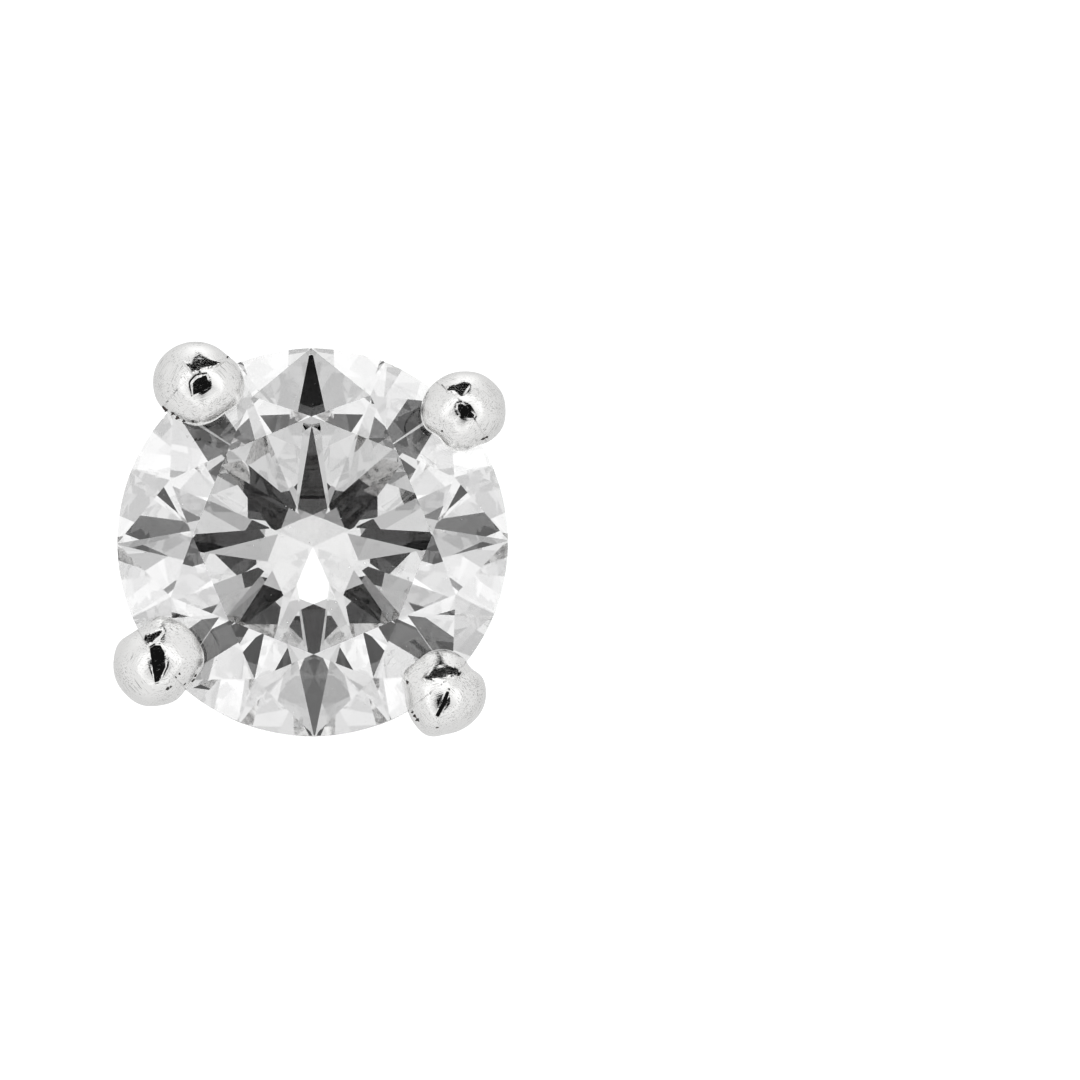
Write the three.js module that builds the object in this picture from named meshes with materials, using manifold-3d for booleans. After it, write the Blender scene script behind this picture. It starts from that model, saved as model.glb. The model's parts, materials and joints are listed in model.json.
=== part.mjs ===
// A stud earring: a round brilliant held by four bead-tipped claws on a soldered wire basket with a plain ear post.
// Sizes are millimetres. The earring is drawn upright first, with +Z out of the stone's table, +X to the right and
// +Y up as its face is seen. It is then laid on its side as it rests by itself, with its face to -Y, the origin
// under the middle of its bounding box, and the stone's girdle and the post's tip on the floor.

import * as THREE from "three";
import { mergeVertices, toCreasedNormals } from "three/addons/utils/BufferGeometryUtils.js";
import { ConvexGeometry } from "three/addons/geometries/ConvexGeometry.js";
import Module from "manifold-3d";

const wasm = await Module();
wasm.setup();

const radians = THREE.MathUtils.degToRad;

// The stone
const STONE_DIAMETER = 5.2;
const TABLE_SHARE = 0.612; // of the stone's diameter, across opposite corners
const GIRDLE_THICKNESS = 0.105; // where two kite-shaped facets meet it
const CROWN_ANGLE = 34.3; // degrees
const PAVILION_ANGLE = 40.6; // degrees
const STAR_SHARE = 0.51; // of the way from the table's edge to the girdle
const LOWER_HALF_SHARE = 0.772; // of the way from the girdle to the culet
const FACET_FOLD = 8; // the cut repeats this many times round
const GIRDLE_STEPS = 6; // girdle sides along one half facet
const STONE_TURN = 0.5; // degrees that the stone is turned in its seat, anticlockwise from the front

const STONE_RADIUS = STONE_DIAMETER / 2;
const SECTOR = (2 * Math.PI) / FACET_FOLD;
const CULET_DEPTH = GIRDLE_THICKNESS + STONE_RADIUS * Math.tan(radians(PAVILION_ANGLE));

// The claws
const SEAT_CLEARANCE = 0.04; // between the girdle and its seat in the claws
const BEAD_RADIUS = 0.56;
const BEAD_HEIGHT = 0.6; // from the bead's middle to its top
const BEAD_RISE = 0.34; // of the bead's middle above the girdle's top
const LEG_TOP_SHARE = 0.89; // of the bead's width
const LEG_FOOT_DIAMETER = 0.72;
const FOOT_CIRCLE = 2; // diameter, through the middles of the feet
const LEG_SIDES = 18;
const BEAD_SIDES = 24;
const BEAD_RINGS = 12;

// Each bead was rounded by hand, so each has its own outline. azimuth is in degrees from +X, outset is how far the
// bead's middle lies outside the girdle, and the eight compass columns are the outline's reach, as shares of
// BEAD_RADIUS, seen from the front.
const CLAWS = [
  { azimuth: 40.4, outset: 0.065, e: 1.01, ne: 0.93, n: 0.97, nw: 0.95, w: 1.0, sw: 0.88, s: 0.96, se: 0.99 },
  { azimuth: 126.5, outset: -0.015, e: 1.11, ne: 0.99, n: 1.02, nw: 1.04, w: 1.09, sw: 0.99, s: 1.02, se: 0.95 },
  { azimuth: 218.4, outset: -0.007, e: 1.04, ne: 0.98, n: 0.99, nw: 0.94, w: 1.08, sw: 1.1, s: 1.09, se: 0.89 },
  { azimuth: 310.6, outset: 0.107, e: 1.01, ne: 0.89, n: 1.05, nw: 0.96, w: 0.94, sw: 1.04, s: 1.03, se: 0.97 },
];
const COMPASS = ["e", "ne", "n", "nw", "w", "sw", "s", "se"];

// The basket
const CULET_CLEARANCE = 0.72; // between the stone's point and the base plate
const BASKET_DEPTH = CULET_DEPTH + CULET_CLEARANCE; // from the girdle's top to the base plate
const RAIL_WIRE = 0.62;
const UPPER_RAIL_SHARE = 0.42; // of the basket's depth
const LOWER_RAIL_SHARE = 0.79;
const RAIL_SIDES = 10;
const RAIL_STEPS = 48;
const PLATE_MARGIN = 0.25; // of the base plate beyond the middles of the feet
const PLATE_THICKNESS = 0.45;
const PLATE_EDGE_SHARE = 0.33; // of the plate's thickness, rounded off at each edge
const PLATE_SINK = 0.12; // how far the feet run into the plate
const PLATE_DIAMETER = FOOT_CIRCLE + 2 * PLATE_MARGIN;

// The ear post
const POST_DIAMETER = 0.86;
const POST_LENGTH = 9.6; // behind the plate
const POST_TIP_ROUND = 0.3; // length of its rounded end
const GROOVE_DEPTH = 0.09;
const GROOVE_WIDTH = 0.5;
const GROOVE_FROM_TIP = 1.9;
const TURNED_SIDES = 32;
const CURVE_STEPS = 4; // along each rounded stretch of a turned profile

const WHITE_GOLD = new THREE.MeshStandardMaterial({ color: 0xe4e2de, roughness: 0.16, metalness: 1 });
const DIAMOND = new THREE.MeshStandardMaterial({
  color: 0xf6f8fa,
  roughness: 0.02,
  metalness: 0,
  transparent: true,
  opacity: 0.4,
});
const METAL_CREASE = radians(35); // metal edges sharper than this are drawn crisp
const FACET_CREASE = radians(1);

function around(radius, angle, height) {
  return new THREE.Vector3(radius * Math.cos(angle), radius * Math.sin(angle), height);
}

// A closed solid from a three.js geometry.
function solidOf(geometry) {
  const bare = geometry.clone();
  bare.deleteAttribute("normal");
  bare.deleteAttribute("uv");
  const merged = mergeVertices(bare, 1e-5);
  return new wasm.Manifold(
    new wasm.Mesh({
      numProp: 3,
      vertProperties: merged.attributes.position.array,
      triVerts: new Uint32Array(merged.index.array),
    }),
  );
}

function meshOf(solid, name, material, crease) {
  const made = solid.getMesh();
  const geometry = new THREE.BufferGeometry();
  geometry.setAttribute("position", new THREE.BufferAttribute(made.vertProperties, 3));
  geometry.setIndex(new THREE.BufferAttribute(made.triVerts, 1));
  const mesh = new THREE.Mesh(toCreasedNormals(geometry, crease), material);
  mesh.name = name;
  return mesh;
}

// The height at a place on the plan of the plane through three points.
function heightOnPlane(a, b, c, place) {
  const plane = new THREE.Plane().setFromCoplanarPoints(a, b, c);
  return (-plane.constant - plane.normal.x * place.x - plane.normal.y * place.y) / plane.normal.z;
}

// A round brilliant is the hull of the points where its facets meet. The girdle's top is at height 0 under the
// tips of the kite facets, and dips between them where the half facets cut into it.
function brilliantGeometry() {
  const crownSlope = Math.tan(radians(CROWN_ANGLE));
  const pavilionSlope = Math.tan(radians(PAVILION_ANGLE));
  const halfSector = SECTOR / 2;
  const tableRadius = TABLE_SHARE * STONE_RADIUS;
  const tableEdge = tableRadius * Math.cos(halfSector);
  const starRadius = tableEdge + STAR_SHARE * (STONE_RADIUS - tableEdge);
  const meetRadius = STONE_RADIUS * (1 - LOWER_HALF_SHARE);
  const tableHeight = (STONE_RADIUS - tableRadius) * crownSlope;
  const starHeight = (STONE_RADIUS - starRadius * Math.cos(halfSector)) * crownSlope;
  const meetHeight = -GIRDLE_THICKNESS - (STONE_RADIUS - meetRadius * Math.cos(halfSector)) * pavilionSlope;

  const points = [new THREE.Vector3(0, 0, -CULET_DEPTH)];
  for (let half = 0; half < 2 * FACET_FOLD; half++) {
    const kiteAngle = Math.ceil(half / 2) * SECTOR;
    const meetAngle = Math.floor(half / 2) * SECTOR + halfSector;
    const star = around(starRadius, meetAngle, starHeight);
    const meet = around(meetRadius, meetAngle, meetHeight);
    points.push(around(tableRadius, kiteAngle, tableHeight), star, meet);

    const topCorners = [around(STONE_RADIUS, kiteAngle, 0), around(STONE_RADIUS, meetAngle, 0)];
    const lowCorners = topCorners.map((corner) => corner.clone().setZ(-GIRDLE_THICKNESS));
    for (let step = 0; step < GIRDLE_STEPS; step++) {
      const place = around(STONE_RADIUS, halfSector * (half + step / GIRDLE_STEPS), 0);
      points.push(place.clone().setZ(heightOnPlane(star, ...topCorners, place)));
      points.push(place.clone().setZ(heightOnPlane(meet, ...lowCorners, place)));
    }
  }
  return new ConvexGeometry(points).rotateZ(radians(STONE_TURN));
}

// How far a bead's outline reaches at an angle, eased between the eight compass columns of its row.
function outlineShare(claw, angle) {
  const turn = THREE.MathUtils.euclideanModulo(angle / (2 * Math.PI), 1) * COMPASS.length;
  const before = Math.floor(turn) % COMPASS.length;
  const after = (before + 1) % COMPASS.length;
  const ease = (1 - Math.cos((turn - Math.floor(turn)) * Math.PI)) / 2;
  return THREE.MathUtils.lerp(claw[COMPASS[before]], claw[COMPASS[after]], ease);
}

function beadCentre(claw) {
  return around(STONE_RADIUS + claw.outset, radians(claw.azimuth), BEAD_RISE);
}

// The rounded tip of a claw: a ball whose sides follow the claw's own outline.
function beadSolid(claw) {
  const geometry = new THREE.SphereGeometry(1, BEAD_SIDES, BEAD_RINGS).rotateX(Math.PI / 2);
  const position = geometry.attributes.position;
  const centre = beadCentre(claw);
  for (let i = 0; i < position.count; i++) {
    const reach = BEAD_RADIUS * outlineShare(claw, Math.atan2(position.getY(i), position.getX(i)));
    position.setXYZ(
      i,
      centre.x + position.getX(i) * reach,
      centre.y + position.getY(i) * reach,
      centre.z + position.getZ(i) * BEAD_HEIGHT,
    );
  }
  return solidOf(geometry);
}

// The straight leg from the base plate up to the middle of the bead.
function legSolid(claw) {
  const foot = around(FOOT_CIRCLE / 2, radians(claw.azimuth), -BASKET_DEPTH - PLATE_SINK);
  const head = beadCentre(claw);
  const along = new THREE.Vector3().subVectors(head, foot);
  const middle = new THREE.Vector3().addVectors(head, foot).divideScalar(2);
  const geometry = new THREE.CylinderGeometry(
    LEG_TOP_SHARE * BEAD_RADIUS,
    LEG_FOOT_DIAMETER / 2,
    along.length(),
    LEG_SIDES,
  );
  geometry.applyQuaternion(
    new THREE.Quaternion().setFromUnitVectors(new THREE.Vector3(0, 1, 0), along.clone().normalize()),
  );
  return solidOf(geometry.translate(middle.x, middle.y, middle.z));
}

// A round wire ring through the middles of the legs, at a share of the basket's depth.
function railSolid(depthShare) {
  const depth = depthShare * BASKET_DEPTH;
  const climbed = (BASKET_DEPTH + PLATE_SINK - depth) / (BASKET_DEPTH + PLATE_SINK + BEAD_RISE);
  const radius = THREE.MathUtils.lerp(FOOT_CIRCLE / 2, STONE_RADIUS, climbed);
  const geometry = new THREE.TorusGeometry(radius, RAIL_WIRE / 2, RAIL_SIDES, RAIL_STEPS);
  return solidOf(geometry.translate(0, 0, -depth));
}

// A turned piece from a path of radii and heights that starts and ends on the axis.
function turnedSolid(path) {
  return solidOf(new THREE.LatheGeometry(path.getPoints(CURVE_STEPS), TURNED_SIDES).rotateX(Math.PI / 2));
}

function plateSolid() {
  const path = new THREE.Path();
  const top = -BASKET_DEPTH;
  const back = top - PLATE_THICKNESS;
  const edge = PLATE_EDGE_SHARE * PLATE_THICKNESS;
  const shoulder = PLATE_DIAMETER / 2 - edge;
  path.moveTo(0, back);
  path.lineTo(shoulder, back);
  path.absarc(shoulder, back + edge, edge, -Math.PI / 2, 0);
  path.absarc(shoulder, top - edge, edge, 0, Math.PI / 2);
  path.lineTo(0, top);
  return turnedSolid(path);
}

function postSolid() {
  const path = new THREE.Path();
  const radius = POST_DIAMETER / 2;
  const root = -BASKET_DEPTH - PLATE_THICKNESS / 2;
  const tip = -BASKET_DEPTH - PLATE_THICKNESS - POST_LENGTH;
  const groove = tip + GROOVE_FROM_TIP;
  path.moveTo(0, tip);
  path.absellipse(0, tip + POST_TIP_ROUND, radius, POST_TIP_ROUND, -Math.PI / 2, 0);
  path.lineTo(radius, groove - GROOVE_WIDTH / 2);
  path.quadraticCurveTo(radius - 2 * GROOVE_DEPTH, groove, radius, groove + GROOVE_WIDTH / 2);
  path.lineTo(radius, root);
  path.lineTo(0, root);
  return turnedSolid(path);
}

// The soldered metal: four claws, two rails, the base plate and the post, with a seat cut for the stone.
function settingSolid(stoneGeometry) {
  const parts = [
    ...CLAWS.flatMap((claw) => [legSolid(claw), beadSolid(claw)]),
    railSolid(UPPER_RAIL_SHARE),
    railSolid(LOWER_RAIL_SHARE),
    plateSolid(),
    postSolid(),
  ];
  const soldered = parts.reduce((whole, part) => whole.add(part));
  const grown = 1 + SEAT_CLEARANCE / STONE_RADIUS;
  const seat = stoneGeometry.clone().translate(0, 0, GIRDLE_THICKNESS / 2).scale(grown, grown, grown);
  return soldered.subtract(solidOf(seat.translate(0, 0, -GIRDLE_THICKNESS / 2)));
}

// The lean at which the head and the post's tip touch the floor together, found by halving the range.
// A lean takes a point of the upright frame to a height of y cos(lean) + z sin(lean).
function restingLean(geometries) {
  const lowest = (lean, belongs) => {
    let low = Infinity;
    for (const { position } of geometries.map((geometry) => geometry.attributes)) {
      for (let i = 0; i < position.count; i++) {
        if (!belongs(position.getZ(i))) continue;
        low = Math.min(low, position.getY(i) * Math.cos(lean) + position.getZ(i) * Math.sin(lean));
      }
    }
    return low;
  };
  const onHead = (z) => z >= -BASKET_DEPTH;
  const onPost = (z) => z < -BASKET_DEPTH;
  let [least, most] = [0, Math.PI / 4];
  for (let halving = 0; halving < 30; halving++) {
    const lean = (least + most) / 2;
    if (lowest(lean, onHead) < lowest(lean, onPost)) least = lean;
    else most = lean;
  }
  return (least + most) / 2;
}

const stoneGeometry = brilliantGeometry();
const stone = meshOf(solidOf(stoneGeometry), "round_stone", DIAMOND, FACET_CREASE);
const setting = meshOf(settingSolid(stoneGeometry), "claw_setting", WHITE_GOLD, METAL_CREASE);

const earring = new THREE.Group();
earring.name = "stud_earring";
earring.add(setting, stone);

earring.rotation.x = Math.PI / 2 - restingLean([setting.geometry, stone.geometry]);
earring.updateMatrixWorld(true);
const lying = new THREE.Box3().setFromObject(earring, true);
const middle = lying.getCenter(new THREE.Vector3());
earring.position.set(-middle.x, -middle.y, -lying.min.z);

export default earring;
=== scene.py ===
"""The looks of a stud earring that lies on a lit white table, seen from the front.

The metal and the stone are modelled in the stud's own upright frame, in millimetres: x to the right and
y up as the face is seen, z out of the stone's table, with the origin in the middle of the girdle's top.
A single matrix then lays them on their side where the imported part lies.
"""

import json
import logging
import math
import random
from collections.abc import Iterable, Sequence
from dataclasses import dataclass, field
from enum import Enum, IntEnum

import bmesh
import bpy
from mathutils import Matrix, Vector

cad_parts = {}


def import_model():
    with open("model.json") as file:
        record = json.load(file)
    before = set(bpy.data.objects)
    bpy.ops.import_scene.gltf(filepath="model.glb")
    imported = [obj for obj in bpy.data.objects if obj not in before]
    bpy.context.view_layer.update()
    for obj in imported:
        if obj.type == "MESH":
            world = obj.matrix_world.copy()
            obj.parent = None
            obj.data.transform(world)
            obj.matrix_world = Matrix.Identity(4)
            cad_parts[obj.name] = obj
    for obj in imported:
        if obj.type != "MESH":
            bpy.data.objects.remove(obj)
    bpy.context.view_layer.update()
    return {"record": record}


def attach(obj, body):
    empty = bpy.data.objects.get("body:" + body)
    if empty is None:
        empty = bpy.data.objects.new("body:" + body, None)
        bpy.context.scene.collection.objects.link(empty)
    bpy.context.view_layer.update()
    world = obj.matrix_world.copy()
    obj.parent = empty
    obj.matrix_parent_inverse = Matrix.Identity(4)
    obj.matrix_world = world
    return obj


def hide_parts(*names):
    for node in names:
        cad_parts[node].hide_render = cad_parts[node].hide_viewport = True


Pair = tuple[float, float]
Colour = tuple[float, float, float]
Socket = bpy.types.NodeSocket
Material = bpy.types.Material

LOG = logging.getLogger("stud_earring")
MM = 0.001
ROOT = "root"
COMPASS_POINTS = 16
FULL_TURN = 2 * math.pi
UNIT = (0.0, 1.0)
BLACK = (0, 0, 0, 1)
WHITE = (1, 1, 1, 1)
MERGE_DISTANCE = 1e-6
STONE_IOR = 2.417
CREST_ROUNDS = 12


class Slot(Enum):
    """The part's material slots."""

    METAL = "white_gold"
    STONE = "clear_stone"


class MetalSkin(IntEnum):
    """The metal's finishes, in the order of its materials."""

    POLISHED = 0
    CAST = 1
    # Painted shadow round the burrs, kept as a finish of its own.
    BURR_SHADOW = 2


class StoneSkin(IntEnum):
    """The stone's finishes, in the order of its materials."""

    BACK = 0
    GIRDLE = 1
    FRONT = 2


@dataclass(frozen=True)
class Lay:
    """Where the stud lies: its lean back from upright, and the middle of its girdle's top, in metres."""

    lean: float
    origin: Vector

    @classmethod
    def from_mount(cls, mount: dict, plate_back: float, seat_height: float) -> "Lay":
        """Works out the lay from the flat mount on the base plate's back.

        Args:
            mount: The record's mount, with its place and its outward axis.
            plate_back: How far the plate's back lies behind the girdle's top, in millimetres.
            seat_height: How far the mount's point lies above the stud's axis, in millimetres.

        Returns:
            The lay that puts the plate's back on the mount.
        """
        axis = Vector(mount["axis"]).normalized()
        lean = math.asin(-axis.z)
        up = Vector((0, math.sin(lean), math.cos(lean)))
        origin = Vector(mount["pos_m"]) - axis * plate_back * MM - up * seat_height * MM
        return cls(lean, origin)

    def matrix(self) -> Matrix:
        """Returns the matrix from the stud's frame in millimetres to the part's frame in metres."""
        turn = Matrix.Rotation(math.pi / 2 - self.lean, 4, "X")
        return Matrix.Translation(self.origin) @ turn @ Matrix.Scale(MM, 4)

    def direction(self, local: Vector) -> Vector:
        """Returns a direction of the stud's frame in the part's frame."""
        return (Matrix.Rotation(math.pi / 2 - self.lean, 3, "X") @ local).normalized()


def around(radius: float, angle: float, height: float) -> Vector:
    """Returns the point at a radius, an angle in radians and a height."""
    return Vector((radius * math.cos(angle), radius * math.sin(angle), height))


def arc(centre: Vector, across: float, along: float, turns: Iterable[int]) -> list[Vector]:
    """Returns points on an oval in the x-z plane.

    Args:
        centre: The oval's middle.
        across: Its reach along x.
        along: Its reach along z.
        turns: The points' angles from x towards z, in degrees.

    Returns:
        The points in order.
    """
    angles = [math.radians(turn) for turn in turns]
    return [centre + Vector((across * math.cos(a), 0, along * math.sin(a))) for a in angles]


def set_inputs(node: bpy.types.Node, values: dict[str, object]) -> None:
    """Sets the unlinked inputs of a node by name."""
    for name, value in values.items():
        node.inputs[name].default_value = value


def new_material(name: str, values: dict[str, object]) -> tuple[Material, bpy.types.Node]:
    """Makes a node material.

    Args:
        name: The material's name.
        values: The values of its shader's inputs, by name.

    Returns:
        The material and its principled shader.
    """
    material = bpy.data.materials.new(name)
    material.use_nodes = True
    shader = material.node_tree.nodes["Principled BSDF"]
    set_inputs(shader, values)
    return material, shader


def link(material: Material, source: Socket, target: Socket) -> None:
    """Joins two sockets of a material."""
    material.node_tree.links.new(source, target)


def add_node(material: Material, kind: str, **settings: object) -> bpy.types.Node:
    """Adds a node to a material.

    Args:
        material: The material that gets the node.
        kind: The node's type name.
        **settings: The node's own settings.

    Returns:
        The new node.
    """
    made = material.node_tree.nodes.new(kind)
    for name, value in settings.items():
        setattr(made, name, value)
    return made


def object_place(material: Material) -> Socket:
    """Returns the socket with the place in the piece's own frame."""
    return add_node(material, "ShaderNodeTexCoord").outputs["Object"]


def combine(material: Material, operation: str, first: Socket, second: Socket) -> Socket:
    """Adds a calculation with two sockets.

    Args:
        material: The material that gets the node.
        operation: The name of the calculation.
        first: The first value.
        second: The second value.

    Returns:
        The socket with the result.
    """
    made = add_node(material, "ShaderNodeMath", operation=operation)
    link(material, first, made.inputs[0])
    link(material, second, made.inputs[1])
    return made.outputs[0]


def noise(material: Material, place: Socket, size: float = 1.0, detail: float = 2.0) -> Socket:
    """Adds a noise texture.

    Args:
        material: The material that gets the node.
        place: The place that the noise is read at.
        size: The size of its lumps.
        detail: How many finer layers it has.

    Returns:
        The socket with the noise, from 0 to 1.
    """
    made = add_node(material, "ShaderNodeTexNoise")
    set_inputs(made, {"Scale": 1 / size, "Detail": detail})
    link(material, place, made.inputs["Vector"])
    return made.outputs["Fac"]


def stretch(material: Material, place: Socket, angle: float, width: float, length: float) -> Socket:
    """Stretches a texture's place into thin strokes.

    Args:
        material: The material that gets the node.
        place: The place to stretch.
        angle: The direction of the strokes, in radians.
        width: The width of a stroke.
        length: The length of a stroke.

    Returns:
        The socket with the stretched place.
    """
    made = add_node(material, "ShaderNodeMapping", vector_type="TEXTURE")
    set_inputs(made, {"Rotation": (0, angle, 0), "Scale": (width, width, length)})
    link(material, place, made.inputs["Vector"])
    return made.outputs[0]


def ramp(material: Material, value: Socket, start: Pair = UNIT, result: Pair = UNIT) -> Socket:
    """Maps a value from one range to another, and stops at both ends.

    Args:
        material: The material that gets the node.
        value: The value to map.
        start: The range that the value comes in.
        result: The range that it is mapped to.

    Returns:
        The socket with the mapped value.
    """
    made = add_node(material, "ShaderNodeMapRange")
    names = ("From Min", "From Max", "To Min", "To Max")
    set_inputs(made, dict(zip(names, (*start, *result))))
    link(material, value, made.inputs["Value"])
    return made.outputs[0]


def blend(material: Material, share: Socket, first: Colour, second: Colour) -> Socket:
    """Blends two colours.

    Args:
        material: The material that gets the node.
        share: How much of the second colour there is, from 0 to 1.
        first: The first colour.
        second: The second colour.

    Returns:
        The socket with the colour.
    """
    made = add_node(material, "ShaderNodeMix", data_type="RGBA")
    set_inputs(made, {"A": (*first, 1), "B": (*second, 1)})
    link(material, share, made.inputs["Factor"])
    return made.outputs["Result"]


def bump(
    material: Material, height: Socket, depth: float, under: Socket | None = None, invert: bool = False
) -> Socket:
    """Adds a relief to a surface.

    Args:
        material: The material that gets the node.
        height: The height of the relief, from 0 to 1.
        depth: The depth between 0 and 1.
        under: The normal of the relief that this one lies on.
        invert: Whether the relief is pressed in.

    Returns:
        The socket with the normal.
    """
    made = add_node(material, "ShaderNodeBump", invert=invert)
    made.inputs["Distance"].default_value = depth
    link(material, height, made.inputs["Height"])
    if under is not None:
        link(material, under, made.inputs["Normal"])
    return made.outputs[0]


@dataclass(frozen=True)
class PolishedGold:
    """White gold polished by hand: a bright mirror, a little wavy, with fine crossed scratches."""

    name: str = "polished white gold"
    colour: Colour = (0.965, 0.962, 0.955)
    scratch_colour: Colour = (0.55, 0.55, 0.545)
    roughness: float = 0.03
    scratch_roughness: float = 0.16
    scratch_angles: tuple[float, ...] = (0.5, -0.7, 1.4)
    scratch_spacing: float = 0.014 * MM
    scratch_length: float = 0.22 * MM
    scratch_level: Pair = (0.58, 0.7)
    patch_size: float = 0.35 * MM
    patch_level: Pair = (0.4, 0.66)
    wave_size: float = 0.3 * MM
    wave_depth: float = 0.004 * MM
    scratch_depth: float = 0.0003 * MM
    stroke_angle: float = 1.2
    stroke_width: float = 0.013 * MM
    stroke_length: float = 0.2 * MM
    stroke_depth: float = 0.0022 * MM

    def build(self) -> Material:
        """Makes the material."""
        material, shader = new_material(self.name, {"Metallic": 1})
        place = object_place(material)
        first, *others = self.scratch_angles
        marks = self.scratches(material, place, first)
        for angle in others:
            marks = combine(material, "MAXIMUM", marks, self.scratches(material, place, angle))
        colour = blend(material, marks, self.colour, self.scratch_colour)
        rough = ramp(material, marks, result=(self.roughness, self.scratch_roughness))
        strokes = stretch(material, place, self.stroke_angle, self.stroke_width, self.stroke_length)
        wavy = bump(material, noise(material, place, self.wave_size, detail=1), self.wave_depth)
        streaky = bump(material, noise(material, strokes, detail=3), self.stroke_depth, wavy)
        scored = bump(material, marks, self.scratch_depth, streaky, invert=True)
        link(material, colour, shader.inputs["Base Color"])
        link(material, rough, shader.inputs["Roughness"])
        link(material, scored, shader.inputs["Normal"])
        return material

    def scratches(self, material: Material, place: Socket, angle: float) -> Socket:
        """Adds one set of nearly parallel scratches, which come and go in patches.

        Args:
            material: The material that gets the nodes.
            place: The place in the piece's own frame.
            angle: The direction of the scratches, in radians.

        Returns:
            The socket with the scratches, from 0 to 1.
        """
        thin = stretch(material, place, angle, self.scratch_spacing, self.scratch_length)
        lines = ramp(material, noise(material, thin, detail=1), self.scratch_level)
        shift = add_node(material, "ShaderNodeVectorMath", operation="ADD")
        shift.inputs[1].default_value = (angle, 0, 0)
        link(material, place, shift.inputs[0])
        patches = ramp(material, noise(material, shift.outputs[0], self.patch_size), self.patch_level)
        return combine(material, "MULTIPLY", lines, patches)


@dataclass(frozen=True)
class BrightCastGold:
    """White gold from the tumbler: bright, but softly blotched where no polishing wheel reached."""

    name: str = "bright cast white gold"
    colour: Colour = (0.82, 0.815, 0.81)
    blotch_colour: Colour = (0.22, 0.22, 0.22)
    roughness: float = 0.12
    blotch_roughness: float = 0.35
    blotch_size: float = 0.13 * MM
    blotch_level: Pair = (0.52, 0.72)
    grain_depth: float = 0.006 * MM

    def build(self) -> Material:
        """Makes the material."""
        material, shader = new_material(self.name, {"Metallic": 1})
        grain = noise(material, object_place(material), self.blotch_size, detail=4)
        blotches = ramp(material, grain, self.blotch_level)
        colour = blend(material, blotches, self.colour, self.blotch_colour)
        rough = ramp(material, blotches, result=(self.roughness, self.blotch_roughness))
        link(material, colour, shader.inputs["Base Color"])
        link(material, rough, shader.inputs["Roughness"])
        link(material, bump(material, grain, self.grain_depth), shader.inputs["Normal"])
        return material


@dataclass(frozen=True)
class PaintedBurrShadow:
    """Painted shadow round the burrs: a near-black colour, reddish in spots, that stands in for the shade
    each filed sliver casts on the tip.
    """

    name: str = "painted burr shadow"
    # Painted shadow: this near-black colour, with a reddish tint in spots, stands in for the shade round
    # each burr.
    colour: Colour = (0.07, 0.067, 0.065)
    burr_shadow_tint: Colour = (0.34, 0.16, 0.12)
    burr_shadow_tint_level: Pair = (0.6, 0.8)
    roughness: float = 0.5
    grain: float = 0.02 * MM
    depth: float = 0.006 * MM

    def build(self) -> Material:
        """Makes the material."""
        material, shader = new_material(self.name, {"Roughness": self.roughness})
        grain = noise(material, object_place(material), self.grain)
        redder = ramp(material, grain, self.burr_shadow_tint_level)
        link(material, blend(material, redder, self.colour, self.burr_shadow_tint), shader.inputs["Base Color"])
        link(material, bump(material, grain, self.depth), shader.inputs["Normal"])
        return material


@dataclass(frozen=True)
class CutStone:
    """The clear stone's polish: perfectly smooth facets that bend light strongly."""

    name: str = "polished clear stone"
    dusty: bool = False
    dust_spacing: float = 0.09 * MM
    dust_size: float = 0.0085 * MM
    dust_patch: float = 0.9 * MM
    dust_level: Pair = (0.5, 0.7)

    def build(self) -> Material:
        """Makes the material."""
        values = {"Base Color": WHITE, "IOR": STONE_IOR, "Roughness": 0, "Transmission Weight": 1}
        material, shader = new_material(self.name, values)
        if self.dusty:
            link(material, self.dust(material), shader.inputs["Transmission Weight"])
        return material

    def dust(self, material: Material) -> Socket:
        """Adds the specks of dust that lie on the facets in patches.

        Args:
            material: The material that gets the nodes.

        Returns:
            The socket that is 1 on the clean facet and 0 on a speck.
        """
        place = object_place(material)
        specks = add_node(material, "ShaderNodeTexVoronoi")
        specks.inputs["Scale"].default_value = 1 / self.dust_spacing
        link(material, place, specks.inputs["Vector"])
        patches = noise(material, place, self.dust_patch)
        size = ramp(material, patches, self.dust_level, (0.0, self.dust_size / self.dust_spacing))
        return combine(material, "GREATER_THAN", specks.outputs["Distance"], size)


@dataclass(frozen=True)
class FrostedGirdle:
    """The stone's girdle, ground but not polished."""

    name: str = "frosted girdle"
    colour: Colour = (0.97, 0.97, 0.97)
    roughness: float = 0.35
    grain: float = 0.02 * MM
    depth: float = 0.002 * MM

    def build(self) -> Material:
        """Makes the material."""
        values = {"Base Color": (*self.colour, 1), "IOR": STONE_IOR, "Roughness": self.roughness}
        material, shader = new_material(self.name, {**values, "Transmission Weight": 1})
        grain = noise(material, object_place(material), self.grain)
        link(material, bump(material, grain, self.depth), shader.inputs["Normal"])
        return material


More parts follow.
